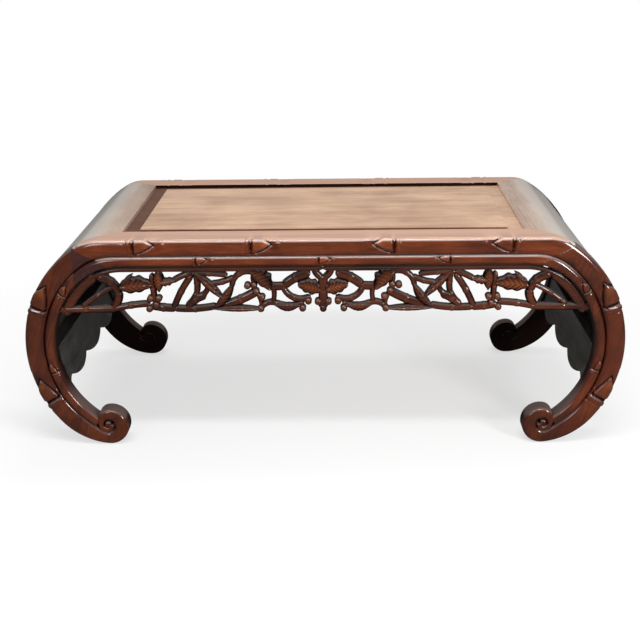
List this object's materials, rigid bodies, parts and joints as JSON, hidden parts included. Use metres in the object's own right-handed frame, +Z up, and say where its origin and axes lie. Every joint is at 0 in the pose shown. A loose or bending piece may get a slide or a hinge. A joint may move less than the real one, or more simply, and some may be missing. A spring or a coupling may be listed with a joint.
{
  "type": "kang table",
  "caption": "Low kang table with waterfall ends, C-shaped legs on scroll feet, rails and legs carved as paired bamboo stalks, and pierced bamboo aprons.",
  "frame": {"origin": "on the floor, under the middle of the top", "axes": "+X along the table to the right, +Y from the front long side to the back, +Z up"},
  "size_m": [0.94, 0.45, 0.34],
  "materials": {
    "frame_wood": "gloss lacquer",
    "top_wood": "gloss lacquer",
    "head_wood": "gloss lacquer",
    "apron_wood": "gloss lacquer",
    "end_wood": "satin lacquer",
    "inner_wood": "raw satin"
  },
  "bodies": {
    "root": {"front_rail": "frame_wood", "back_rail": "frame_wood", "left_end_rail": "top_wood", "right_end_rail": "top_wood", "panel": "top_wood", "front_left_leg": "frame_wood", "front_right_leg": "frame_wood", "back_left_leg": "frame_wood", "back_right_leg": "frame_wood", "front_left_head": "head_wood", "front_right_head": "head_wood", "back_left_head": "head_wood", "back_right_head": "head_wood", "front_apron": "apron_wood", "back_apron": "apron_wood", "left_end_apron": "end_wood", "right_end_apron": "end_wood", "left_end_panel": "end_wood", "right_end_panel": "end_wood", "left_batten": "inner_wood", "right_batten": "inner_wood", "head_dowels": "inner_wood"}
  },
  "joints": []
}
